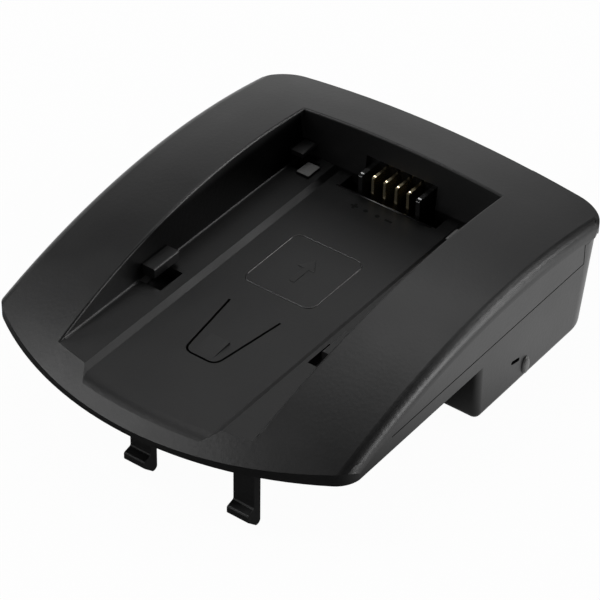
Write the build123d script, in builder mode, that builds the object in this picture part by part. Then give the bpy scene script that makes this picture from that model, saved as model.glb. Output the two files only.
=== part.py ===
# Clip-on battery plate of a camera battery charger.
# Millimetres, +Z up, +Y to the rear, origin under the middle of the plate at the resting face.
import os
from math import radians, sqrt, tan

from build123d import *

# Plan of the plate
plate_width = 67.8
plate_length = 82.1
front_arc_radius = 58.0
front_corner_radius = 5.0
rear_corner_radius = 7.0

# Arched top: a barrel with its crest behind the middle
crown_height = 23.0
crest_setback = 27.6
front_height = 11.17
crown_radius = 200.0
edge_round = 2.2

# Shells
parting_height = 12.75
wall = 1.8
skin = 1.0
front_lip = 0.4
plate_drop = 2.6
plate_floor = 1.3
rim_width = 1.8
fit_gap = 0.1
seam_gap = 0.2
seam_depth = 0.6
seam_setback = 21.0

# Battery bay with drafted walls and a rail along each side
bay_base_width = 37.0
bay_draft = 7.0
bay_rear_bank = 12.25
bay_floor_thickness = 1.2
bay_rim_round = 0.35
guide_shift = 0.6
rail_inner_width = 23.8
rail_height = 0.6
rail_slope = 30.0
nose_round = 6.0

# Battery lugs on the bay walls, each over a core hole
lug_inner_width = 32.2
lug_length = 6.1
lug_thickness = 1.9
rear_lug_thickness = 0.9
core_inner_width = 28.4
core_reach = 0.95
core_short = 1.5
lug_top = 3.2
lug_round = 0.3
front_lug_reach = 42.25
rear_lug_length = 3.75

# Stop pads on the rails, in front of the rear lugs
pad_width = 2.5
pad_length = 3.3
pad_height = 0.4
pad_reach = 2.0

# Spring tongue in the bay floor, placed from the bay's rear wall
tongue_root_reach = 37.65
tongue_length = 13.9
tongue_root_width = 9.8
tongue_tip_width = 6.0
tongue_tip_radius = 1.6
tongue_slot = 0.4
tongue_relief = 0.6
bump_width = 3.6
bump_length = 4.2
bump_height = 0.4
bump_setback = 1.05

# Contact recess at the rear of the bay and the window in the wall behind it
recess_width = 19.1
recess_depth = 3.35
window_width = 14.0
window_top = 4.9

# Rear block with its leaning rear wall, and the lip along the rear edge
block_length = 33.95
block_lean = 3.55
block_top_height = 18.25
block_front_radius = 1.2
foot_round = 1.0
rear_wall = 1.0
rear_wall_length = 4.75
lip_overhang = 0.6
lip_width = 0.7
lip_drop = 0.5
lip_thickness = 1.6
lip_length = 4.6
notch_width = 36.0

# Side catches on the block
catch_setback = 10.45
catch_height = 5.2
catch_length = 2.4
catch_width = 0.7
catch_depth = 0.7
catch_tilt = -13.0
nub_setback = 13.45
nub_bottom = 1.2
nub_top = 4.0
nub_width = 1.4
nub_reach = 0.35

# Snap hooks under the front edge
hook_first_x = -0.3
hook_pitch = 19.6
hook_count = 2
hook_setback = 4.25
hook_width = 3.9
hook_thickness = 1.5
hook_reach = 1.6
hook_notch_height = 3.6
hook_nose_height = 2.0
hook_nose_round = 0.7

# Battery contact blades
blade_count = 4
blade_pitch = 2.3
blade_thickness = 0.5
blade_setback = 0.65
blade_top = 3.7
blade_nose_radius = 0.7
blade_foot_depth = 3.6
blade_tail_width = 1.0
blade_tail_out = 0.8

# Contact holder
holder_width = 18.5
holder_shelf_depth = 2.6
holder_depth = 4.6
comb_setback = 1.4
key_pitch = 11.3
key_width = 0.8
key_setback = 0.3
key_top = 3.6
key_nose_radius = 0.6
slot_gap = 0.05

# Circuit board and what it carries
board_side_gap = 12.9
board_length = 23.2
board_rear_margin = 1.8
board_thickness = 1.6
board_height = 5.0
tail_gap = 0.2
post_diameter = 5.0
post_inset = 3.5
chip_length = 3.2
chip_width = 1.6
chip_thickness = 0.6
cap_length = 3.5
cap_width = 2.8
cap_thickness = 1.9
chip_x = 6.0
chip_setback = 7.0

# Pads to the charger base, in windows of the block floor
base_contact_count = 4
base_contact_pitch = 8.0
base_contact_width = 3.2
base_contact_length = 9.0
base_contact_thickness = 0.4
base_contact_setback = 8.0
base_window_ledge = 0.5
base_ledge_thickness = 0.8
base_tail_width = 1.2
base_tail_out = 0.6

# Screws
screw_shank = 2.1
screw_head = 4.0
screw_head_height = 1.3
screw_length = 5.5
screw_hole_gap = 0.1
screw_way_gap = 0.3
head_way_gap = 0.4
boss_diameter = 5.4
pillar_diameter = 7.0
screw_seat = 1.0
screw_recess = 0.2
screw_inset = 7.2
rear_screw_setback = 14.05
rear_seat_height = 9.0
front_screw_reach = 8.95
board_screw_length = 4.6

# Values that follow from the sizes above
half_width = plate_width / 2
half_length = plate_length / 2
tool_margin = 1.0
trim_margin = 0.05
edge_match = 0.05
least_radius = 0.4
arch_stations = 7
crest_y = half_length - crest_setback
arch_run = crest_y + half_length
arch_drop = crown_height - front_height
arch_radius = (arch_run**2 + arch_drop**2) / (2 * arch_drop)
axis_height = crown_height - arch_radius
clear_height = crown_height + 10 * tool_margin
plate_bottom = parting_height - plate_drop
pocket_bottom = plate_bottom + plate_floor
floor_height = parting_height
slab_bottom = floor_height - bay_floor_thickness
rail_top = floor_height + rail_height
bay_half = bay_base_width / 2
bay_rear_y = half_length - bay_rear_bank
lug_reach = (bay_base_width - lug_inner_width) / 2
lug_height = floor_height + lug_top
core_width = (bay_base_width - core_inner_width) / 2
lugs = (
    (bay_rear_y - front_lug_reach, lug_length, lug_thickness),
    (bay_rear_y - rear_lug_length, rear_lug_length, rear_lug_thickness),
)
pad_x = lug_inner_width / 2 - pad_width / 2 - fit_gap
pad_y = bay_rear_y - rear_lug_length - pad_reach + pad_length / 2
tongue_root_y = bay_rear_y - tongue_root_reach
tongue_tip_y = tongue_root_y - tongue_length
recess_front_y = bay_rear_y - recess_depth
block_rear_top_y = half_length - lip_overhang
block_rear_foot_y = block_rear_top_y - block_lean
block_front_y = block_rear_foot_y - block_length
rear_wall_start_y = block_rear_foot_y - rear_wall_length
lip_start_y = half_length - lip_length
catch_y = block_front_y + catch_setback
nub_y = block_front_y + nub_setback
hook_front_y = hook_setback - half_length
seam_front_y = seam_setback - half_length
blade_front_y = recess_front_y + blade_setback
blade_foot = floor_height - blade_foot_depth
shelf_top = floor_height - holder_shelf_depth
holder_rear_y = bay_rear_y + holder_depth
comb_front_y = bay_rear_y + comb_setback
key_front_y = recess_front_y + key_setback
tail_y = holder_rear_y + fit_gap
board_width = plate_width - 2 * board_side_gap
board_rear_y = holder_rear_y + board_rear_margin
board_front_y = board_rear_y - board_length
board_top = board_height + board_thickness
board_screw_x = board_width / 2 - post_inset
board_screw_y = board_front_y + post_inset
board_rest_y = board_rear_y - post_inset
chip_y = board_front_y + chip_setback
base_contact_y = board_front_y + base_contact_setback
base_tail_y = base_contact_y + base_contact_length / 2 - base_contact_thickness / 2
screw_x = half_width - screw_inset
rear_screw_y = half_length - rear_screw_setback
front_screw_y = block_front_y - front_screw_reach
front_seat_height = plate_bottom + screw_head_height + screw_recess
screw_seats = ((rear_screw_y, rear_seat_height), (front_screw_y, front_seat_height))


def arc_sag(radius, half_chord):
    return radius - sqrt(radius**2 - half_chord**2)


def crown_z(x, y):
    ring = arch_radius - arc_sag(crown_radius, x)
    return axis_height + sqrt(ring**2 - (y - crest_y) ** 2)


def draw_plan(plane, inset=0.0):
    # Plan of the plate: bowed front, straight sides, square rear, rounded corners
    side = half_width + trim_margin
    corner_y = arc_sag(front_arc_radius, side) - half_length
    with BuildSketch(plane) as plan:
        with BuildLine():
            ThreePointArc((-side, corner_y), (0, -half_length), (side, corner_y))
            Polyline(
                (side, corner_y),
                (side, half_length),
                (-side, half_length),
                (-side, corner_y),
            )
        make_face()
        fillet(plan.vertices().group_by(Axis.Y)[0], front_corner_radius)
        fillet(plan.vertices().group_by(Axis.Y)[-1], rear_corner_radius)
        if inset:
            offset(amount=-inset, kind=Kind.INTERSECTION)
    return plan.sketch


def make_crown(drop=0.0, inset=0.0, rounded=True):
    # Solid under the arched top, lowered by drop and drawn in from the sides by inset
    side = half_width - inset
    wide = half_width + 2 * tool_margin
    reach = half_length + 2 * tool_margin
    with BuildPart() as vault:
        for station in range(arch_stations):
            y = -reach + 2 * reach * station / (arch_stations - 1)
            with BuildSketch(Plane.XZ.offset(-y)):
                with BuildLine():
                    ThreePointArc(
                        (-wide, crown_z(wide, y) - drop),
                        (0, crown_z(0, y) - drop),
                        (wide, crown_z(wide, y) - drop),
                    )
                    Polyline(
                        (wide, crown_z(wide, y) - drop),
                        (wide, -tool_margin),
                        (-wide, -tool_margin),
                        (-wide, crown_z(wide, y) - drop),
                    )
                make_face()
        loft()
    with BuildPart() as crown:
        with BuildSketch():
            Rectangle(2 * side, plate_length + 2 * tool_margin)
        extrude(amount=clear_height)
        add(vault.part, mode=Mode.INTERSECT)
        if rounded:
            shoulders = crown.edges().filter_by(lambda e: abs(abs(e.center().X) - side) < 0.01)
            fillet(shoulders.sort_by(Axis.Z)[-2:], edge_round - drop / 2)
    return crown.part


def block_rear_y(height):
    return block_rear_foot_y + block_lean * height / block_top_height


def make_block(inset=0.0, foot=0.0):
    # Column of the rear block with its leaning rear face, drawn in by inset
    front_round = max(block_front_radius - inset, least_radius)
    with BuildPart() as block:
        for height in (foot, crown_height):
            front_y = block_front_y + inset
            rear_y = block_rear_y(height) - inset
            with BuildSketch(Plane.XY.offset(height)) as section:
                with Locations((0, (front_y + rear_y) / 2)):
                    Rectangle(plate_width - 2 * inset, rear_y - front_y)
                fillet(section.vertices().group_by(Axis.Y)[0], front_round)
                fillet(section.vertices().group_by(Axis.Y)[-1], rear_corner_radius - inset)
        loft()
    return block.part


def make_outside(inset, start_y):
    # Everything behind start_y that lies outside the drawn-in block column
    column = make_block(inset)
    with BuildPart() as outside:
        with BuildSketch(Plane.XY.offset(-tool_margin)):
            with Locations((0, start_y + plate_length / 2)):
                Rectangle(2 * plate_width, plate_length)
        extrude(amount=crown_height)
        add(column, mode=Mode.SUBTRACT)
    return outside.part


def make_pocket(grow=0.0):
    # Room of the battery bay: drafted side and rear walls, open at the front, grown by grow
    rise = clear_height - rail_top
    spread = rise * tan(radians(bay_draft))
    with BuildPart() as pocket:
        for height, widen in ((rail_top, grow), (clear_height, grow + spread)):
            with BuildSketch(Plane.XY.offset(height)):
                with Locations((0, bay_rear_y + widen - plate_length)):
                    Rectangle(bay_base_width + 2 * widen, 2 * plate_length)
        loft()
    return pocket.part


def cut_channel(width, front_y, rear_y, bottom, top, shift=0.0):
    # Straight pocket along the plate, its middle moved sideways by shift
    with BuildSketch(Plane.XY.offset(bottom)) as channel:
        with Locations((shift, (front_y + rear_y) / 2)):
            Rectangle(width, rear_y - front_y)
    extrude(channel.sketch, amount=top - bottom, mode=Mode.SUBTRACT)


def cut_hole(diameter, spot, bottom, top):
    with BuildSketch(Plane.XY.offset(bottom)) as hole:
        with Locations(spot):
            Circle(diameter / 2)
    extrude(hole.sketch, amount=top - bottom, mode=Mode.SUBTRACT)


def add_pillar(diameter, spot, bottom, top):
    with BuildSketch(Plane.XY.offset(bottom)) as pillar:
        with Locations(spot):
            Circle(diameter / 2)
    extrude(pillar.sketch, amount=top - bottom)


def row(count, pitch, first=None):
    start = -pitch * (count - 1) / 2 if first is None else first
    return [start + pitch * index for index in range(count)]


def make_screw(length):
    # Screw with its head below the seat at the origin and its shank above
    with BuildPart() as screw:
        add_pillar(screw_head, (0, 0), -screw_head_height, 0)
        add_pillar(screw_shank, (0, 0), 0, length)
    return screw.part


def is_bay_rim(edge):
    # Edge between the arched top and a wall of the bay
    middle = edge @ 0.5
    on_top = abs(middle.Z - crown_z(middle.X, middle.Y)) < edge_match
    beside_bay = abs(middle.X) < bay_half + wall and middle.Y < bay_rear_y + wall
    return on_top and beside_bay and middle.Z > rail_top + rail_height


def is_bay_nose(edge):
    # Edge where the bay floor runs out into the arched front
    middle = edge @ 0.5
    on_top = abs(middle.Z - crown_z(middle.X, middle.Y)) < edge_match
    on_floor = abs(middle.Z - floor_height) < edge_match
    across = abs((edge @ 1).X - (edge @ 0).X) > rail_inner_width / 2
    return on_top and on_floor and across


# Forms shared by both covers
outer_crown = make_crown()
inner_crown = make_crown(wall, wall)
lip_crown = make_crown(front_lip, -tool_margin, rounded=False)
skin_crown = make_crown(skin, -trim_margin)
bay_room = make_pocket()
rear_skirt = make_outside(rear_wall + fit_gap + wall, rear_wall_start_y - seam_gap - wall)

with BuildPart() as rear_room:
    add(make_outside(rear_wall + fit_gap, rear_wall_start_y - seam_gap))
    add(skin_crown, mode=Mode.INTERSECT)

with BuildPart() as lip_room:
    with BuildSketch():
        with Locations((0, lip_start_y - fit_gap + plate_length / 2)):
            Rectangle(2 * plate_width, plate_length)
    extrude(amount=clear_height)
    extrude(draw_plan(Plane.XY, lip_width + fit_gap), amount=clear_height, mode=Mode.SUBTRACT)

with BuildPart() as rim_room:
    with BuildSketch():
        Rectangle(2 * plate_width, 2 * plate_length)
    extrude(amount=parting_height)
    extrude(draw_plan(Plane.XY, rim_width + fit_gap), amount=parting_height, mode=Mode.SUBTRACT)
    add(lip_crown, mode=Mode.INTERSECT)

with BuildPart() as seam_room:
    with BuildSketch(Plane.XY.offset(plate_bottom)):
        with Locations((0, seam_front_y + plate_length / 2)):
            Rectangle(2 * plate_width, plate_length)
    extrude(amount=plate_drop + seam_gap)
    extrude(draw_plan(Plane.XY, seam_depth), amount=clear_height, mode=Mode.SUBTRACT)

with BuildPart() as cover_cavity:
    extrude(draw_plan(Plane.XY, wall), amount=clear_height)
    add(inner_crown, mode=Mode.INTERSECT)
    add(rear_skirt, mode=Mode.SUBTRACT)
    add(make_pocket(wall), mode=Mode.SUBTRACT)
    cut_channel(bay_base_width + 2 * wall, -plate_length, bay_rear_y + wall, 0, rail_top)

# Top cover: arched shell, battery bay, lugs, spring tongue and screw bosses
with BuildPart() as top_cover:
    extrude(draw_plan(Plane.XY.offset(plate_bottom)), amount=clear_height)
    add(outer_crown, mode=Mode.INTERSECT)
    for room in (rear_room, lip_room, rim_room, seam_room):
        add(room.part, mode=Mode.SUBTRACT)
    rim_inside = draw_plan(Plane.XY.offset(plate_bottom), rim_width + fit_gap)
    extrude(rim_inside, amount=slab_bottom - plate_bottom, mode=Mode.SUBTRACT)
    add(cover_cavity.part, mode=Mode.SUBTRACT)
    cut_channel(2 * plate_width, bay_rear_y + wall, plate_length, 0, parting_height)

    # Bay with a raised rail along each side
    add(bay_room, mode=Mode.SUBTRACT)
    channel_rise = rail_height + tool_margin
    channel_width = rail_inner_width + 2 * channel_rise / tan(radians(rail_slope))
    with BuildSketch(Plane.XZ.offset(-bay_rear_y)):
        with Locations((guide_shift, floor_height + channel_rise / 2)):
            Trapezoid(channel_width, channel_rise, 180 - rail_slope)
    extrude(amount=2 * plate_length, mode=Mode.SUBTRACT)

    # Contact recess, and the window in the wall behind it
    cut_channel(recess_width, recess_front_y, bay_rear_y, 0, rail_top + tool_margin, guide_shift)
    window_rear_y = bay_rear_y + 2 * wall
    cut_channel(window_width, bay_rear_y - wall, window_rear_y, 0, floor_height + window_top, guide_shift)

    # Lugs that hold the battery down, each over a core hole
    for lug_y, length, thickness in lugs:
        for sign in (-1, 1):
            with BuildSketch(Plane.XY.offset(slab_bottom)):
                with Locations((sign * (core_inner_width + core_width) / 2, lug_y - core_reach)):
                    Rectangle(core_width, length + core_reach - core_short, align=(Align.CENTER, Align.MIN))
            extrude(amount=lug_height - thickness - slab_bottom, mode=Mode.SUBTRACT)
            with BuildSketch(Plane.XZ.offset(-lug_y)) as lug:
                with Locations((sign * (bay_half - lug_reach / 2 + wall / 4), lug_height - thickness / 2)):
                    Rectangle(lug_reach + wall / 2, thickness)
                inner_corners = lug.vertices().sort_by(lambda v: abs(v.X))[:2]
                fillet(inner_corners, lug_round)
            extrude(amount=-length)

    # Stop pads on the rails
    with BuildSketch(Plane.XY.offset(rail_top)):
        with GridLocations(2 * pad_x, 0, 2, 1):
            with Locations((0, pad_y)):
                Rectangle(pad_width, pad_length)
    extrude(amount=pad_height)

    # Spring tongue, cut free by a slot, with its catch bump
    with BuildSketch(Plane.XY.offset(slab_bottom)):
        with BuildLine():
            FilletPolyline(
                (-tongue_root_width / 2, tongue_root_y),
                (-tongue_tip_width / 2, tongue_tip_y),
                (tongue_tip_width / 2, tongue_tip_y),
                (tongue_root_width / 2, tongue_root_y),
                radius=tongue_tip_radius,
            )
        trace(line_width=tongue_slot)
    extrude(amount=2 * bay_floor_thickness, mode=Mode.SUBTRACT)
    bump_y = tongue_tip_y + bump_setback
    with BuildSketch(Plane.YZ):
        with BuildLine():
            Polyline(
                (bump_y, floor_height),
                (bump_y + bump_length, floor_height + bump_height),
                (bump_y + bump_length, floor_height - bump_height),
                (bump_y, floor_height - bump_height),
                close=True,
            )
        make_face()
    extrude(amount=bump_width / 2, both=True)

    # Screw bosses
    for y, seat in screw_seats:
        for x in (-screw_x, screw_x):
            boss_bottom = seat + screw_seat
            add_pillar(boss_diameter, (x, y), boss_bottom, crown_z(x, y) - wall / 2)
            hole_top = seat + screw_length + screw_recess
            cut_hole(screw_shank + 2 * screw_hole_gap, (x, y), boss_bottom, hole_top)

    # Rounded rims of the bay, and its floor blended into the arched front
    fillet(top_cover.edges().filter_by(is_bay_rim), bay_rim_round)
    fillet(top_cover.edges().filter_by(is_bay_nose), nose_round)
top_cover.part.label = "top_cover"

# Bottom cover: front plate, rear block with its rising wall and lip, hooks and posts
block_column = make_block()
block_inside = make_block(wall, foot=wall)
wall_inside = make_block(rear_wall)
plate_outside = make_outside(0, rear_wall_start_y)
wall_crown = make_crown(skin + fit_gap)
lip_top = make_crown(lip_drop)
under_lip = make_crown(lip_drop + lip_thickness, -tool_margin, rounded=False)

with BuildPart() as wall_room:
    add(wall_inside)
    cut_channel(2 * plate_width, -plate_length, plate_length, -tool_margin, parting_height)

with BuildPart() as skin_room:
    extrude(draw_plan(Plane.XY, lip_width), amount=clear_height)
    add(make_crown(skin + fit_gap, -tool_margin, rounded=False), mode=Mode.SUBTRACT)

with BuildPart() as rear_lip:
    extrude(draw_plan(Plane.XY.offset(parting_height)), amount=clear_height)
    add(lip_top, mode=Mode.INTERSECT)
    for room in (under_lip, wall_inside, skin_room.part):
        add(room, mode=Mode.SUBTRACT)
    cut_channel(2 * plate_width, -plate_length, lip_start_y, 0, clear_height)
    cut_channel(notch_width, 0, plate_length, 0, clear_height)

with BuildPart() as block_shell:
    add(block_column)
    fillet(block_shell.edges().group_by(Axis.Z)[0], foot_round)
    add(wall_crown, mode=Mode.INTERSECT)
    add(block_inside, mode=Mode.SUBTRACT)
    add(wall_room.part, mode=Mode.SUBTRACT)
    cut_channel(plate_width - 2 * rim_width, -plate_length, rear_wall_start_y, pocket_bottom, clear_height)
    cut_channel(2 * plate_width, -plate_length, rear_wall_start_y, parting_height, clear_height)
    cut_channel(notch_width, 0, plate_length, parting_height, clear_height)

with BuildPart() as bottom_cover:
    extrude(draw_plan(Plane.XY.offset(plate_bottom)), amount=plate_drop)
    add(outer_crown, mode=Mode.INTERSECT)
    add(lip_crown, mode=Mode.INTERSECT)
    add(plate_outside, mode=Mode.SUBTRACT)
    extrude(draw_plan(Plane.XY.offset(pocket_bottom), rim_width), amount=plate_drop, mode=Mode.SUBTRACT)
    add(block_inside, mode=Mode.SUBTRACT)
    add(block_shell.part)
    add(rear_lip.part)

    # Room under the spring tongue
    relief_y = tongue_tip_y - tongue_tip_radius
    relief_bottom = pocket_bottom - tongue_relief
    cut_channel(tongue_root_width, relief_y, tongue_root_y, relief_bottom, pocket_bottom)

    # Snap hooks
    for x in row(hook_count, hook_pitch, hook_first_x):
        with BuildSketch(Plane.YZ.offset(x)) as hook:
            with BuildLine():
                Polyline(
                    (hook_front_y, pocket_bottom - plate_floor / 2),
                    (hook_front_y, hook_notch_height),
                    (hook_front_y - hook_reach, hook_notch_height - hook_reach / 4),
                    (hook_front_y - hook_reach, hook_nose_height),
                    (hook_front_y + hook_thickness / 3, 0),
                    (hook_front_y + hook_thickness, 0),
                    (hook_front_y + hook_thickness, pocket_bottom - plate_floor / 2),
                    close=True,
                )
            make_face()
            fillet(hook.vertices().group_by(Axis.Y)[0], hook_nose_round)
            fillet(hook.vertices().group_by(Axis.Z)[0], hook_nose_round / 2)
        extrude(amount=hook_width / 2, both=True)

    # Side catches
    for sign in (-1, 1):
        flank = Plane(origin=(sign * half_width, 0, 0), x_dir=(0, sign, 0), z_dir=(sign, 0, 0))
        with BuildSketch(flank):
            with Locations((sign * catch_y, catch_height)):
                SlotOverall(catch_length, catch_width, rotation=sign * catch_tilt)
        extrude(amount=-catch_depth, mode=Mode.SUBTRACT)
        with BuildSketch(flank.offset(-wall / 2)):
            with Locations((sign * nub_y, (nub_bottom + nub_top) / 2)):
                SlotOverall(nub_top - nub_bottom, nub_width, rotation=90)
        extrude(amount=wall / 2 + nub_reach)

    # Screw pillars
    pillar_feet = (wall / 2, pocket_bottom - plate_floor / 2)
    for (y, seat), foot in zip(screw_seats, pillar_feet):
        for x in (-screw_x, screw_x):
            add_pillar(pillar_diameter, (x, y), foot, seat + screw_seat)
            cut_hole(screw_head + 2 * head_way_gap, (x, y), 0, seat)
            cut_hole(screw_shank + 2 * screw_way_gap, (x, y), seat, seat + screw_seat)

    # Posts of the circuit board
    for sign in (-1, 1):
        for y in (board_screw_y, board_rest_y):
            add_pillar(post_diameter, (sign * board_screw_x, y), wall / 2, board_height)
        screw_spot = (sign * board_screw_x, board_screw_y)
        cut_hole(screw_shank + 2 * screw_hole_gap, screw_spot, board_top - board_screw_length, board_height)

    # Windows for the pads to the charger base
    for height, grow in ((0, -base_window_ledge), (base_ledge_thickness, fit_gap)):
        with BuildSketch(Plane.XY.offset(height)):
            with Locations((0, base_contact_y)):
                with GridLocations(base_contact_pitch, 1, base_contact_count, 1):
                    Rectangle(base_contact_width + 2 * grow, base_contact_length + 2 * grow)
        extrude(amount=wall, mode=Mode.SUBTRACT)
bottom_cover.part.label = "bottom_cover"

# Contact holder: shelf on the board, comb in the window and a guide key at each side
with BuildPart() as contact_holder:
    shelf_front_y = recess_front_y + fit_gap
    with BuildSketch(Plane.XY.offset(board_top)):
        with Locations((guide_shift, (shelf_front_y + holder_rear_y) / 2)):
            Rectangle(holder_width, holder_rear_y - shelf_front_y)
    extrude(amount=shelf_top - board_top)
    with BuildSketch(Plane.XY.offset(shelf_top)):
        with Locations((guide_shift, (comb_front_y + holder_rear_y) / 2)):
            Rectangle(window_width - 2 * fit_gap, holder_rear_y - comb_front_y)
    extrude(amount=floor_height + window_top - fit_gap - shelf_top)
    for x in row(2, key_pitch):
        with BuildSketch(Plane.YZ.offset(guide_shift + x)) as key:
            with BuildLine():
                Polyline(
                    (key_front_y, shelf_top),
                    (key_front_y, floor_height + key_top),
                    (comb_front_y, floor_height + key_top),
                    (comb_front_y, shelf_top),
                    close=True,
                )
            make_face()
            fillet(key.vertices().group_by(Axis.Z)[-1].sort_by(Axis.Y)[0], key_nose_radius)
        extrude(amount=key_width / 2, both=True)
    with BuildSketch(Plane.XY.offset(blade_foot - slot_gap)):
        slot_length = holder_rear_y - blade_front_y + 2 * slot_gap
        with Locations((guide_shift, (blade_front_y + holder_rear_y) / 2)):
            with GridLocations(blade_pitch, 1, blade_count, 1):
                Rectangle(blade_thickness + 2 * slot_gap, slot_length)
    extrude(amount=clear_height, mode=Mode.SUBTRACT)
contact_holder.part.label = "contact_holder"

# Battery contact blades
blades = []
for index, x in enumerate(row(blade_count, blade_pitch)):
    with BuildPart() as blade:
        with BuildSketch(Plane.YZ.offset(guide_shift + x)) as outline:
            with BuildLine():
                Polyline(
                    (blade_front_y, blade_foot),
                    (blade_front_y, floor_height + blade_top),
                    (tail_y + blade_tail_width, floor_height + blade_top),
                    (tail_y + blade_tail_width, board_height - blade_tail_out),
                    (tail_y, board_height - blade_tail_out),
                    (tail_y, floor_height),
                    (bay_rear_y, floor_height),
                    (bay_rear_y, blade_foot),
                    close=True,
                )
            make_face()
            fillet(outline.vertices().group_by(Axis.Y)[0].sort_by(Axis.Z)[-1], blade_nose_radius)
        extrude(amount=blade_thickness / 2, both=True)
    blade.part.label = f"battery_contact_{index + 1}"
    blades.append(blade.part)

# Circuit board
with BuildPart() as circuit_board:
    with BuildSketch(Plane.XY.offset(board_height)):
        with Locations((0, (board_front_y + board_rear_y) / 2)):
            Rectangle(board_width, board_rear_y - board_front_y)
        with Locations((0, board_screw_y)):
            with GridLocations(2 * board_screw_x, 1, 2, 1):
                Circle(screw_shank / 2 + screw_way_gap, mode=Mode.SUBTRACT)
        with Locations((guide_shift, tail_y + blade_tail_width / 2)):
            with GridLocations(blade_pitch, 1, blade_count, 1):
                Rectangle(blade_thickness + 2 * tail_gap, blade_tail_width + 2 * tail_gap, mode=Mode.SUBTRACT)
        with Locations((0, base_tail_y)):
            with GridLocations(base_contact_pitch, 1, base_contact_count, 1):
                slot_depth = base_contact_thickness + 2 * tail_gap
                Rectangle(base_tail_width + 2 * tail_gap, slot_depth, mode=Mode.SUBTRACT)
    extrude(amount=board_thickness)
circuit_board.part.label = "circuit_board"

# Chips on the board
with BuildPart() as coding_resistor:
    with BuildSketch(Plane.XY.offset(board_top)):
        with Locations((-chip_x, chip_y)):
            Rectangle(chip_length, chip_width)
    extrude(amount=chip_thickness)
coding_resistor.part.label = "coding_resistor"

with BuildPart() as filter_capacitor:
    with BuildSketch(Plane.XY.offset(board_top)):
        with Locations((chip_x, chip_y)):
            Rectangle(cap_length, cap_width)
    extrude(amount=cap_thickness)
filter_capacitor.part.label = "filter_capacitor"

# Pads to the charger base, each with a tail up through the board
base_contacts = []
for index, x in enumerate(row(base_contact_count, base_contact_pitch)):
    with BuildPart() as pad:
        with BuildSketch(Plane.XY.offset(base_ledge_thickness)):
            with Locations((x, base_contact_y)):
                Rectangle(base_contact_width, base_contact_length)
        extrude(amount=base_contact_thickness)
        with BuildSketch(Plane.XY.offset(base_ledge_thickness)):
            with Locations((x, base_tail_y)):
                Rectangle(base_tail_width, base_contact_thickness)
        extrude(amount=board_top + base_tail_out - base_ledge_thickness)
    pad.part.label = f"base_contact_{index + 1}"
    base_contacts.append(pad.part)

# Screws
with BuildPart() as cover_screws:
    for y, seat in screw_seats:
        with Locations((-screw_x, y, seat), (screw_x, y, seat)):
            add(make_screw(screw_length))
cover_screws.part.label = "cover_screws"

with BuildPart() as board_screws:
    with Locations((-board_screw_x, board_screw_y, board_top), (board_screw_x, board_screw_y, board_top)):
        add(make_screw(board_screw_length), rotation=(180, 0, 0))
board_screws.part.label = "board_screws"

pieces = [
    top_cover.part,
    bottom_cover.part,
    contact_holder.part,
    circuit_board.part,
    coding_resistor.part,
    filter_capacitor.part,
    cover_screws.part,
    board_screws.part,
]
os.makedirs("parts", exist_ok=True)
for piece in pieces + blades + base_contacts:
    export_step(piece, f"parts/{piece.label}.step")
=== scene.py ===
import math

import bmesh
import bpy
from mathutils import Matrix, Vector


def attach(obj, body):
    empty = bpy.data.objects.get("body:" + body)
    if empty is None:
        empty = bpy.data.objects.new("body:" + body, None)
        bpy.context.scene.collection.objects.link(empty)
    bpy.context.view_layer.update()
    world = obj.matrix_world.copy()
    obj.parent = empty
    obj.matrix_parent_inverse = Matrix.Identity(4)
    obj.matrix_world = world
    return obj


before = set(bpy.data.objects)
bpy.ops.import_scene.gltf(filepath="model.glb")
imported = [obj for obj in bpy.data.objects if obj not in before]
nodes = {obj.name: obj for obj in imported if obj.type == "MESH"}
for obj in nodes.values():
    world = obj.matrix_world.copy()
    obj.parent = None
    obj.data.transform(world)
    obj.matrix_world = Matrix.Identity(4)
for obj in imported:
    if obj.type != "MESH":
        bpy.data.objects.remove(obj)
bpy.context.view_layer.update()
mm = 0.001  # pieces are set in millimetres, camera and lights in metres
print("frame loaded", len(nodes), "nodes")

scene = bpy.context.scene
scene.view_settings.view_transform = "Standard"


# shader helpers
def newGroup(name, inputs, outputs):
    group = bpy.data.node_groups.new(name, "ShaderNodeTree")
    for label, value in inputs:
        socket = group.interface.new_socket(label, in_out="INPUT", socket_type="NodeSocketFloat")
        socket.default_value = value
    for label in outputs:
        group.interface.new_socket(label, in_out="OUTPUT", socket_type="NodeSocketFloat")
    return group


def addNode(tree, kind, **values):
    node = tree.nodes.new(kind)
    for key, value in values.items():
        setattr(node, key, value)
    return node


def mathNode(tree, operation, first, second):
    node = addNode(tree, "ShaderNodeMath", operation=operation)
    for socket, value in zip(node.inputs, (first, second)):
        if isinstance(value, (int, float)):
            socket.default_value = value
        else:
            tree.links.new(value, socket)
    return node.outputs[0]


def addRamp(tree, value, start, end, rising=True):
    ramp = addNode(tree, "ShaderNodeMapRange", interpolation_type="SMOOTHSTEP")
    tree.links.new(value, ramp.inputs["Value"])
    ramp.inputs["From Min"].default_value = start
    ramp.inputs["From Max"].default_value = end
    ramp.inputs["To Min"].default_value = 0.0 if rising else 1.0
    ramp.inputs["To Max"].default_value = 1.0 if rising else 0.0
    return ramp.outputs["Result"]


# spark-eroded mould grain: fine pits over soft blotches
grainShape = {
    "grainScale": 3200.0, "blotchScale": 120.0, "fineDetail": 3.0, "fineRoughness": 0.65,
    "pitShare": 0.55, "blotchDetail": 4.0,
}


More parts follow.
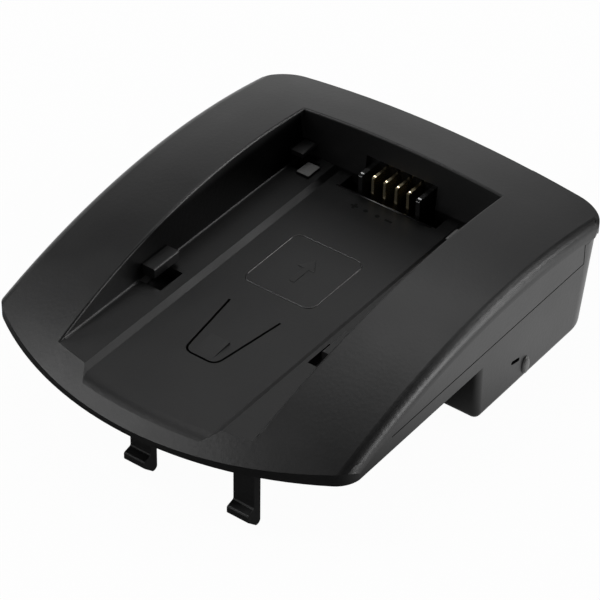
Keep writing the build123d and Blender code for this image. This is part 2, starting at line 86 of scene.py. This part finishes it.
def makeGrain():
    group = newGroup(
        "mouldGrain",
        [("Grain Scale", grainShape["grainScale"]), ("Blotch Scale", grainShape["blotchScale"])],
        ["Height", "Fine", "Blotch"],
    )
    given = addNode(group, "NodeGroupInput").outputs
    out = addNode(group, "NodeGroupOutput").inputs
    coords = addNode(group, "ShaderNodeTexCoord")
    fine = addNode(group, "ShaderNodeTexNoise", noise_dimensions="3D")
    fine.inputs["Detail"].default_value = grainShape["fineDetail"]
    fine.inputs["Roughness"].default_value = grainShape["fineRoughness"]
    pits = addNode(group, "ShaderNodeTexVoronoi", feature="F1")
    blotch = addNode(group, "ShaderNodeTexNoise", noise_dimensions="3D")
    blotch.inputs["Detail"].default_value = grainShape["blotchDetail"]
    for texture in (fine, pits, blotch):
        group.links.new(coords.outputs["Object"], texture.inputs["Vector"])
    pitScale = mathNode(group, "MULTIPLY", given["Grain Scale"], grainShape["pitShare"])
    group.links.new(given["Grain Scale"], fine.inputs["Scale"])
    group.links.new(pitScale, pits.inputs["Scale"])
    group.links.new(given["Blotch Scale"], blotch.inputs["Scale"])
    height = mathNode(group, "ADD", fine.outputs["Fac"], pits.outputs["Distance"])
    group.links.new(height, out["Height"])
    group.links.new(fine.outputs["Fac"], out["Fine"])
    group.links.new(blotch.outputs["Fac"], out["Blotch"])
    return group


mouldGrain = makeGrain()

# moulded plastic: a faint mottle in the colour and in the gloss, over a bump of mould grain
mottle = {"from": 0.3, "to": 0.72, "fineShare": 0.6, "blotchShare": 0.4}
glossBlotch = {"from": 0.3, "to": 0.7}
coverLook = {
    "dark": (0.0045, 0.0045, 0.0047), "pale": (0.008, 0.008, 0.0082),
    "grainScale": 2600.0, "blotchScale": 90.0, "roughness": 0.37, "roughSpread": 0.03,
    "bump": 0.25, "bumpDepth": 0.03, "specular": 0.5,
}


def makePlastic(name, **changes):
    look = {**coverLook, **changes}
    material = bpy.data.materials.new(name)
    material.use_nodes = True
    tree = material.node_tree
    shader = tree.nodes["Principled BSDF"]
    shader.inputs["Specular IOR Level"].default_value = look["specular"]
    grain = addNode(tree, "ShaderNodeGroup", node_tree=mouldGrain)
    grain.inputs["Grain Scale"].default_value = look["grainScale"]
    grain.inputs["Blotch Scale"].default_value = look["blotchScale"]
    tint = addNode(tree, "ShaderNodeValToRGB")
    for stop, position, colour in zip(tint.color_ramp.elements, ("from", "to"), ("dark", "pale")):
        stop.position = mottle[position]
        stop.color = (*look[colour], 1)
    fine = mathNode(tree, "MULTIPLY", grain.outputs["Fine"], mottle["fineShare"])
    blotch = mathNode(tree, "MULTIPLY", grain.outputs["Blotch"], mottle["blotchShare"])
    tree.links.new(mathNode(tree, "ADD", fine, blotch), tint.inputs["Fac"])
    tree.links.new(tint.outputs["Color"], shader.inputs["Base Color"])
    rough = addNode(tree, "ShaderNodeMapRange")
    rough.inputs["From Min"].default_value = glossBlotch["from"]
    rough.inputs["From Max"].default_value = glossBlotch["to"]
    rough.inputs["To Min"].default_value = look["roughness"] - look["roughSpread"]
    rough.inputs["To Max"].default_value = look["roughness"] + look["roughSpread"]
    tree.links.new(grain.outputs["Blotch"], rough.inputs["Value"])
    tree.links.new(rough.outputs["Result"], shader.inputs["Roughness"])
    bump = addNode(tree, "ShaderNodeBump")
    bump.inputs["Strength"].default_value = look["bump"]
    bump.inputs["Distance"].default_value = look["bumpDepth"] * mm
    tree.links.new(grain.outputs["Height"], bump.inputs["Height"])
    tree.links.new(bump.outputs["Normal"], shader.inputs["Normal"])
    return material


# bare metal with a soft change of tint and gloss
metalSpread = 0.06


def makeMetal(name, look):
    material = bpy.data.materials.new(name)
    material.use_nodes = True
    tree = material.node_tree
    shader = tree.nodes["Principled BSDF"]
    shader.inputs["Metallic"].default_value = 1.0
    grain = addNode(tree, "ShaderNodeGroup", node_tree=mouldGrain)
    grain.inputs["Grain Scale"].default_value = look["grainScale"]
    tint = addNode(tree, "ShaderNodeValToRGB")
    for stop, colour in zip(tint.color_ramp.elements, ("dark", "pale")):
        stop.color = (*look[colour], 1)
    tree.links.new(grain.outputs["Blotch"], tint.inputs["Fac"])
    tree.links.new(tint.outputs["Color"], shader.inputs["Base Color"])
    rough = addNode(tree, "ShaderNodeMapRange")
    rough.inputs["To Min"].default_value = look["roughness"] - metalSpread
    rough.inputs["To Max"].default_value = look["roughness"] + metalSpread
    tree.links.new(grain.outputs["Fine"], rough.inputs["Value"])
    tree.links.new(rough.outputs["Result"], shader.inputs["Roughness"])
    return material


# painted shade: the bay walls and the rear of the bay floor are duller than the faces round them, standing
# in for the shade that the walls cast
bayWallShade = {
    "inner": 18.45, "outer": 19.4, "bottom": 13.4, "rear": 28.7, "front": -16.0, "frontSoft": 8.0,
    "shadeShare": 0.95,
}
bayRearShade = {"top": 13.4, "half": 18.45, "from": 4.0, "to": 24.0, "shadeShare": 0.56}
edgeSoft = 0.1


def makeBayShadeMasks():
    group = newGroup("bayShadeMasks", [], ["Wall", "Rear"])
    out = addNode(group, "NodeGroupOutput").inputs
    coords = addNode(group, "ShaderNodeTexCoord")
    split = addNode(group, "ShaderNodeSeparateXYZ")
    group.links.new(coords.outputs["Object"], split.inputs["Vector"])
    along, up = split.outputs["Y"], split.outputs["Z"]
    across = mathNode(group, "ABSOLUTE", split.outputs["X"], 0.0)

    def above(value, edge, soft=edgeSoft):
        return addRamp(group, value, (edge - soft) * mm, (edge + soft) * mm)

    def below(value, edge):
        return addRamp(group, value, (edge - edgeSoft) * mm, (edge + edgeSoft) * mm, rising=False)

    def join(first, *others):
        for other in others:
            first = mathNode(group, "MULTIPLY", first, other)
        return first

    wall = join(
        above(across, bayWallShade["inner"]), below(across, bayWallShade["outer"]), above(up, bayWallShade["bottom"]),
        below(along, bayWallShade["rear"]), above(along, bayWallShade["front"], bayWallShade["frontSoft"]),
    )
    rear = join(
        below(across, bayRearShade["half"]), below(up, bayRearShade["top"]),
        addRamp(group, along, bayRearShade["from"] * mm, bayRearShade["to"] * mm),
    )
    group.links.new(wall, out["Wall"])
    group.links.new(rear, out["Rear"])
    return group


bayShadeMasks = makeBayShadeMasks()


def paintBayShade(material):
    # painted shade: a metallic share with this near-black colour takes the clear reflection away
    tree = material.node_tree
    masks = addNode(tree, "ShaderNodeGroup", node_tree=bayShadeMasks)
    wall = mathNode(tree, "MULTIPLY", masks.outputs["Wall"], bayWallShade["shadeShare"])
    rear = mathNode(tree, "MULTIPLY", masks.outputs["Rear"], bayRearShade["shadeShare"])
    shader = tree.nodes["Principled BSDF"]
    tree.links.new(mathNode(tree, "ADD", wall, rear), shader.inputs["Metallic"])


def grey(level):
    return (level, level, level)


charcoalTop = makePlastic("charcoalTop")
# painted shade on the bay walls and on the rear of the bay floor
paintBayShade(charcoalTop)
charcoalBottom = makePlastic("charcoalBottom", roughness=0.38)
holderBlack = makePlastic(
    "holderBlack", dark=grey(0.006), pale=grey(0.010), roughness=0.17, bump=0.05, specular=0.9)
# painted shade: black for the grooves of the engraved marks and of the screw slots
grooveShadeBlack = makePlastic("grooveShadeBlack", dark=grey(0.001), pale=grey(0.002), roughness=0.75, specular=0.15)
edgeGloss = makePlastic("edgeGloss", roughness=0.20, bump=0.05, specular=0.8)
# pale plastic for the nub crowns: partly wear, partly a painted highlight
wornAndGlintGrey = makePlastic(
    "wornAndGlintGrey", dark=grey(0.03), pale=(0.13, 0.13, 0.125), blotchScale=900.0, roughness=0.30)
# pale grey as painted light on the rest pads
padLightGrey = makePlastic("padLightGrey", dark=grey(0.15), pale=(0.22, 0.22, 0.21), roughness=0.60)
arrowGloss = makePlastic("arrowGloss", dark=grey(0.012), pale=grey(0.020), roughness=0.30, bump=0.05)
contactGold = makeMetal("contactGold", {
    "dark": (0.82, 0.68, 0.40), "pale": (0.95, 0.84, 0.58), "roughness": 0.21, "grainScale": 5000.0})
screwSteel = makeMetal("screwSteel", {
    "dark": (0.34, 0.34, 0.35), "pale": (0.5, 0.5, 0.51), "roughness": 0.36, "grainScale": 4000.0})
boardGreen = makePlastic("boardGreen", dark=(0.02, 0.10, 0.05), pale=(0.03, 0.14, 0.07), roughness=0.35)
chipBlack = makePlastic("chipBlack", dark=grey(0.012), pale=grey(0.018))
chipTan = makePlastic("chipTan", dark=(0.36, 0.25, 0.13), pale=(0.44, 0.32, 0.18))
print("materials ready")

# finishes of the CAD nodes; those not named here are contacts
nodeFinish = {
    "top_cover": charcoalTop, "bottom_cover": charcoalBottom, "contact_holder": holderBlack,
    "circuit_board": boardGreen, "coding_resistor": chipBlack, "filter_capacitor": chipTan,
    "cover_screws": screwSteel, "board_screws": screwSteel,
}
for name, node in nodes.items():
    node.data.materials.clear()
    node.data.materials.append(nodeFinish.get(name, contactGold))


# helpers for the small relief on the faces
def keepPiece(name, bm, material, smooth=False):
    bmesh.ops.recalc_face_normals(bm, faces=bm.faces)
    mesh = bpy.data.meshes.new(name)
    bm.to_mesh(mesh)
    bm.free()
    if smooth:
        mesh.polygons.foreach_set("use_smooth", [True] * len(mesh.polygons))
    mesh.materials.append(material)
    piece = bpy.data.objects.new(name, mesh)
    scene.collection.objects.link(piece)
    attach(piece, "root")
    return piece


def roundedOutline(halfX, halfY, radius, steps):
    points = []
    for turn, (signX, signY) in enumerate(((1, 1), (-1, 1), (-1, -1), (1, -1))):
        middleX, middleY = signX * (halfX - radius), signY * (halfY - radius)
        for step in range(steps + 1):
            angle = math.pi / 2 * (turn + step / steps)
            points.append((middleX + radius * math.cos(angle), middleY + radius * math.sin(angle)))
    return points


def crossOutline(half, thin):
    return [(-half, -thin), (-thin, -thin), (-thin, -half), (thin, -half), (thin, -thin), (half, -thin),
            (half, thin), (thin, thin), (thin, half), (-thin, half), (-thin, thin), (-half, thin)]


def extrudeFace(bm, corners, shift):
    face = bm.faces.new([bm.verts.new(Vector(corner) * mm) for corner in corners])
    raised = bmesh.ops.extrude_face_region(bm, geom=[face])["geom"]
    lifted = [part for part in raised if isinstance(part, bmesh.types.BMVert)]
    bmesh.ops.translate(bm, vec=Vector(shift) * mm, verts=lifted)
    return [part for part in raised if isinstance(part, bmesh.types.BMFace)]


def addPrism(bm, outline, spot, bottom, top):
    corners = [(x + spot[0], y + spot[1], bottom) for x, y in outline]
    return extrudeFace(bm, corners, (0, 0, top - bottom))


def softenEdges(bm, edges, size):
    bmesh.ops.bevel(bm, geom=edges, offset=size * mm, affect="EDGES", segments=2, profile=0.5, material=-1)


# heights and walls of the battery bay, as in the CAD
bay = {"floor": 12.75, "rail": 13.35, "wallX": 18.5, "draft": 7.0}

# fine bead round the plain panel in the bay floor
panel = {
    "centre": (0.0, 3.75), "half": (6.7, 7.3), "radius": 1.6, "steps": 8,
    "width": 0.26, "lift": 0.09, "lap": 0.01, "rise": 6,
}


def makePanelBead():
    bm = bmesh.new()
    loops = []
    for step in range(panel["rise"] + 1):
        angle = math.pi * step / panel["rise"]
        grow = panel["width"] / 2 * math.cos(angle)
        halfX, halfY = (half + grow for half in panel["half"])
        z = bay["floor"] + panel["lift"] * math.sin(angle) - panel["lap"]
        ring = []
        for x, y in roundedOutline(halfX, halfY, panel["radius"] + grow, panel["steps"]):
            spot = Vector((x + panel["centre"][0], y + panel["centre"][1], z))
            ring.append(bm.verts.new(spot * mm))
        loops.append([bm.edges.new(pair) for pair in zip(ring, ring[1:] + ring[:1])])
    for lower, upper in zip(loops, loops[1:] + loops[:1]):
        bmesh.ops.bridge_loops(bm, edges=lower + upper)
    return keepPiece("panelBead", bm, edgeGloss, smooth=True)


makePanelBead()

# arrow on the panel, towards the contacts
arrow = {
    "centre": (0.0, 3.75), "length": 6.4, "shaft": 1.0, "head": 3.2, "headLength": 2.6,
    "lift": 0.10, "lap": 0.02, "edgeRound": 0.03,
}


def makeArrow():
    tip, foot = arrow["length"] / 2, -arrow["length"] / 2
    neck = tip - arrow["headLength"]
    half, wide = arrow["shaft"] / 2, arrow["head"] / 2
    shaft = [(-half, neck), (-half, foot), (half, foot), (half, neck)]
    outline = [*shaft, (wide, neck), (0, tip), (-wide, neck)]
    bm = bmesh.new()
    top = addPrism(bm, outline, arrow["centre"], bay["floor"] - arrow["lap"], bay["floor"] + arrow["lift"])
    softenEdges(bm, list({edge for face in top for edge in face.edges}), arrow["edgeRound"])
    return keepPiece("panelArrow", bm, arrowGloss)


makeArrow()

# engraved polarity marks in front of the contacts: plus, two dots, minus; thin black sheets paint the shade
# in their grooves
marks = {
    "y": 22.35, "plus": -3.7, "dots": (-1.5, 0.8), "minus": 3.0, "span": 1.4, "stroke": 0.46,
    "dot": 0.40, "dotSides": 18, "lift": 0.015, "lap": 0.02,
}


def makeMarks():
    half, thin = marks["span"] / 2, marks["stroke"] / 2
    turns = [2 * math.pi * side / marks["dotSides"] for side in range(marks["dotSides"])]
    disc = [(marks["dot"] * math.cos(turn), marks["dot"] * math.sin(turn)) for turn in turns]
    dash = [(-half, -thin), (half, -thin), (half, thin), (-half, thin)]
    bm = bmesh.new()
    shapes = [(marks["plus"], crossOutline(half, thin)), (marks["minus"], dash)]
    shapes += [(x, disc) for x in marks["dots"]]
    for x, outline in shapes:
        addPrism(bm, outline, (x, marks["y"]), bay["floor"] - marks["lap"], bay["floor"] + marks["lift"])
    return keepPiece("polarityMarks", bm, grooveShadeBlack)


makeMarks()

# pale faces on the two rest pads: painted light, for the light that falls on them
padLightPatch = {
    "x": 14.75, "y": 24.7, "half": (1.2, 1.6), "radius": 0.25, "steps": 4, "bottom": 13.73, "top": 13.77,
}


def makePadLightPatches():
    bm = bmesh.new()
    outline = roundedOutline(*padLightPatch["half"], padLightPatch["radius"], padLightPatch["steps"])
    for x in (-padLightPatch["x"], padLightPatch["x"]):
        addPrism(bm, outline, (x, padLightPatch["y"]), padLightPatch["bottom"], padLightPatch["top"])
    return keepPiece("padLightPatches", bm, padLightGrey)


makePadLightPatches()

# fine bead along the front of the contact recess
bead = {"y": 25.25, "half": 9.4, "width": 0.40, "lift": 0.14, "steps": 8, "lap": 0.02}


def makeRecessBead():
    bm = bmesh.new()
    half = bead["width"] / 2
    section = [(-half, -bead["lap"])]
    for step in range(bead["steps"] + 1):
        angle = math.pi * (1 - step / bead["steps"])
        section.append((half * math.cos(angle), bead["lift"] * math.sin(angle)))
    section.append((half, -bead["lap"]))
    corners = [(-bead["half"], bead["y"] + y, bay["floor"] + z) for y, z in section]
    extrudeFace(bm, corners, (2 * bead["half"], 0, 0))
    return keepPiece("recessBead", bm, edgeGloss, smooth=True)


makeRecessBead()

# small fillets where the bay walls meet the rails, between the core holes
coves = {"radius": 0.40, "steps": 6, "runs": ((-32.4, -14.45), (-8.9, 24.0)), "lap": 0.02}


def makeCoves():
    bm = bmesh.new()
    radius = coves["radius"]
    sweep = math.pi / 2 - math.radians(bay["draft"])
    middleX = bay["wallX"] - radius / math.tan((math.pi - sweep) / 2)
    section = []
    for step in range(coves["steps"] + 1):
        angle = -math.pi / 2 + sweep * step / coves["steps"]
        section.append((middleX + radius * math.cos(angle), bay["rail"] + radius * (1 + math.sin(angle))))
    section.append((bay["wallX"] + coves["lap"], bay["rail"] - coves["lap"]))
    for sign in (-1, 1):
        for front, rear in coves["runs"]:
            extrudeFace(bm, [(sign * x, front, z) for x, z in section], (0, rear - front, 0))
    return keepPiece("wallCoves", bm, charcoalTop)


makeCoves()

# coined lead-in facets on the noses of the blades and of the guide keys
facets = {"length": 0.85, "depth": 0.16, "sink": 0.45, "tilt": 30.0, "edgeRound": 0.05}
bladeNose = {
    "first": -2.85, "pitch": 2.3, "count": 4, "centre": (26.80, 15.75), "radius": 0.70, "width": 0.46,
}
keyNose = {
    "first": -5.05, "pitch": 11.3, "count": 2, "centre": (26.35, 15.75), "radius": 0.60, "width": 0.74,
}


def makeFacets(name, nose, material):
    bm = bmesh.new()
    lift = Matrix.Translation((0, 0, nose["radius"] - facets["sink"] * facets["depth"]))
    block = lift @ Matrix.Diagonal((nose["width"], facets["length"], facets["depth"], 1))
    leaning = Matrix.Rotation(math.radians(facets["tilt"]), 4, "X") @ block
    for i in range(nose["count"]):
        spot = Matrix.Translation((nose["first"] + nose["pitch"] * i, *nose["centre"]))
        bmesh.ops.create_cube(bm, size=1.0, matrix=Matrix.Scale(mm, 4) @ spot @ leaning)
    softenEdges(bm, list(bm.edges), facets["edgeRound"])
    return keepPiece(name, bm, material)


makeFacets("bladeFacets", bladeNose, contactGold)
makeFacets("keyFacets", keyNose, holderBlack)

# pale crowns on the catch nubs of both sides: partly worn plastic, partly a painted highlight
nubCrown = {
    "x": 33.89, "y": 16.40, "z": 2.60, "reach": 0.46, "halfY": 0.95, "halfZ": 1.72,
    "rings": 24, "segments": 32,
}


def makeNubCrown():
    bm = bmesh.new()
    for sign in (-1, 1):
        made = bmesh.ops.create_uvsphere(
            bm, u_segments=nubCrown["segments"], v_segments=nubCrown["rings"], radius=1.0)
        for vert in made["verts"]:
            out, v, w = vert.co
            # fuller than an ellipsoid, so that the crown wraps the nub's edge, and flat behind
            out = abs(out) * math.sqrt(2 - out * out) if sign * out > 0 else 0.0
            spot = Vector((
                sign * (nubCrown["x"] + out * nubCrown["reach"]),
                nubCrown["y"] + v * nubCrown["halfY"],
                nubCrown["z"] + w * nubCrown["halfZ"],
            ))
            vert.co = spot * mm
    return keepPiece("nubCrown", bm, wornAndGlintGrey, smooth=True)


makeNubCrown()

# cross slots in the heads of the cover screws, seen up the screw holes; thin black sheets paint the shade in
# the slots
drives = {
    "x": 26.7, "rows": ((27.0, 7.70), (-6.0, 10.35)), "span": 2.2, "stroke": 0.55, "lift": 0.02, "lap": 0.03,
}


def makeDrives():
    bm = bmesh.new()
    cross = crossOutline(drives["span"] / 2, drives["stroke"] / 2)
    for y, z in drives["rows"]:
        for x in (-drives["x"], drives["x"]):
            addPrism(bm, cross, (x, y), z - drives["lift"], z + drives["lap"])
    return keepPiece("screwDrives", bm, grooveShadeBlack)


makeDrives()
print("relief pieces ready")

# camera at the photograph's angle
photoView = {
    "sensor": 36.0, "lens": 184.78, "nearest": 0.01, "place": (0.223763, -0.303041, 0.311630),
    "side": (0.80115, 0.59835, 0.01233), "rise": (-0.38223, 0.49572, 0.77984),
    "away": (0.46050, -0.62948, 0.62585),
}


def makeCamera():
    camData = bpy.data.cameras.new("photoCamera")
    camData.sensor_width = photoView["sensor"]
    camData.lens = photoView["lens"]
    camData.clip_start = photoView["nearest"]
    cam = bpy.data.objects.new("photoCamera", camData)
    scene.collection.objects.link(cam)
    turn = Matrix([photoView[axis] for axis in ("side", "rise", "away")]).transposed()
    cam.matrix_world = Matrix.Translation(photoView["place"]) @ turn.to_4x4()
    scene.camera = cam


makeCamera()

# white studio floor; in the gloss of the object it glows as painted light: dim near the object as a painted
# shadow, with brighter painted sweeps of light on three sides
floorSheet = {
    "half": 3.0, "drop": 0.2, "colour": 0.86, "roughness": 0.8, "dim": 0.06, "white": 0.97, "glow": 1.0,
}
floorGlossLight = (
    {"towards": (0.85, 0.50, 0.0), "from": 0.018, "to": 0.046, "bright": 1.02},
    {"towards": (0.0, 1.0, 0.0), "from": 0.044, "to": 0.072, "bright": 1.20},
    {"towards": (-1.0, 0.0, 0.0), "from": 0.040, "to": 0.072, "bright": 1.10},
)


def mixShaders(tree, share, first, second):
    blend = addNode(tree, "ShaderNodeMixShader")
    for socket, source in zip(blend.inputs, (share, first.outputs[0], second.outputs[0])):
        tree.links.new(source, socket)
    return blend


def makeFloorPaint():
    material = bpy.data.materials.new("floorPaint")
    material.use_nodes = True
    tree = material.node_tree
    paint = tree.nodes["Principled BSDF"]
    paint.inputs["Base Color"].default_value = (*grey(floorSheet["colour"]), 1)
    paint.inputs["Roughness"].default_value = floorSheet["roughness"]
    coords = addNode(tree, "ShaderNodeTexCoord")
    level = floorSheet["dim"]
    for part in floorGlossLight:
        along = addNode(tree, "ShaderNodeVectorMath", operation="DOT_PRODUCT")
        along.inputs[1].default_value = part["towards"]
        tree.links.new(coords.outputs["Object"], along.inputs[0])
        sweep = addRamp(tree, along.outputs["Value"], part["from"], part["to"])
        level = mathNode(tree, "MAXIMUM", mathNode(tree, "MULTIPLY", sweep, part["bright"]), level)
    # painted light and painted shadow of the floor, seen only in reflections
    glossGlow = addNode(tree, "ShaderNodeEmission")
    tree.links.new(level, glossGlow.inputs["Strength"])
    glow = addNode(tree, "ShaderNodeEmission")
    glow.inputs["Strength"].default_value = floorSheet["glow"]
    path = addNode(tree, "ShaderNodeLightPath")
    inGloss = mixShaders(tree, path.outputs["Is Glossy Ray"], paint, glossGlow)
    seen = mathNode(tree, "MULTIPLY", path.outputs["Is Camera Ray"], floorSheet["white"])
    blend = mixShaders(tree, seen, inGloss, glow)
    tree.links.new(blend.outputs[0], tree.nodes["Material Output"].inputs["Surface"])
    return material


def makeFloor():
    floorMesh = bpy.data.meshes.new("studioFloor")
    sheet = bmesh.new()
    bmesh.ops.create_grid(sheet, x_segments=1, y_segments=1, size=floorSheet["half"])
    bmesh.ops.translate(sheet, vec=(0, 0, -floorSheet["drop"] * mm), verts=sheet.verts)
    sheet.to_mesh(floorMesh)
    sheet.free()
    floorMesh.materials.append(makeFloorPaint())
    studioFloor = bpy.data.objects.new("studioFloor", floorMesh)
    scene.collection.objects.link(studioFloor)


makeFloor()

# faint light from all round, and a white backdrop for the camera
surround = {"light": 0.02, "backdrop": 1.0}


def makeWorld():
    world = bpy.data.worlds.new("studioWorld")
    scene.world = world
    world.use_nodes = True
    tree = world.node_tree
    sky = tree.nodes["Background"]
    sky.inputs["Color"].default_value = (1, 1, 1, 1)
    sky.inputs["Strength"].default_value = surround["light"]
    backdrop = addNode(tree, "ShaderNodeBackground")
    backdrop.inputs["Strength"].default_value = surround["backdrop"]
    path = addNode(tree, "ShaderNodeLightPath")
    blend = mixShaders(tree, path.outputs["Is Camera Ray"], sky, backdrop)
    tree.links.new(blend.outputs[0], tree.nodes["World Output"].inputs["Surface"])


makeWorld()

# square soft lights that face the object
softLights = {
    "overSoft": {"towards": (-0.22, 0.42, 0.88), "away": 0.9, "size": 0.40, "radiance": 1.95},
    "overRight": {"towards": (0.33, 0.63, 0.70), "away": 0.9, "size": 0.25, "radiance": 3.4},
    "rearHigh": {"towards": (-0.32, 0.80, 0.50), "away": 0.9, "size": 0.35, "radiance": 0.66},
    "rearLow": {"towards": (-0.50, 0.82, 0.24), "away": 0.9, "size": 0.40, "radiance": 0.62},
    "leftRear": {"towards": (-0.80, 0.50, 0.30), "away": 0.9, "size": 0.45, "radiance": 0.85},
    "leftFront": {"towards": (-0.70, -0.25, 0.66), "away": 0.9, "size": 0.40, "radiance": 3.8},
    "frontGlint": {"towards": (-0.42, -0.22, 0.88), "away": 0.9, "size": 0.15, "radiance": 10.0},
    "rightLow": {"towards": (0.85, 0.48, 0.20), "away": 0.9, "size": 0.30, "radiance": 8.0},
    "frontFill": {"towards": (-0.25, -0.93, 0.28), "away": 1.0, "size": 0.70, "radiance": 0.95},
    "rightFill": {"towards": (0.80, -0.55, 0.25), "away": 1.0, "size": 0.60, "radiance": 1.0},
    "rearKey": {"towards": (0.60, 0.63, 0.44), "away": 0.9, "size": 0.20, "radiance": 10.0},
}


def makeLight(label, light):
    lampData = bpy.data.lights.new(label, "AREA")
    lampData.size = light["size"]
    lampData.energy = light["radiance"] * math.pi * light["size"] ** 2
    lamp = bpy.data.objects.new(label, lampData)
    towards = Vector(light["towards"]).normalized()
    lamp.location = towards * light["away"]
    lamp.rotation_euler = towards.to_track_quat("Z", "Y").to_euler()
    scene.collection.objects.link(lamp)


for label, light in softLights.items():
    makeLight(label, light)
print("camera and light ready")
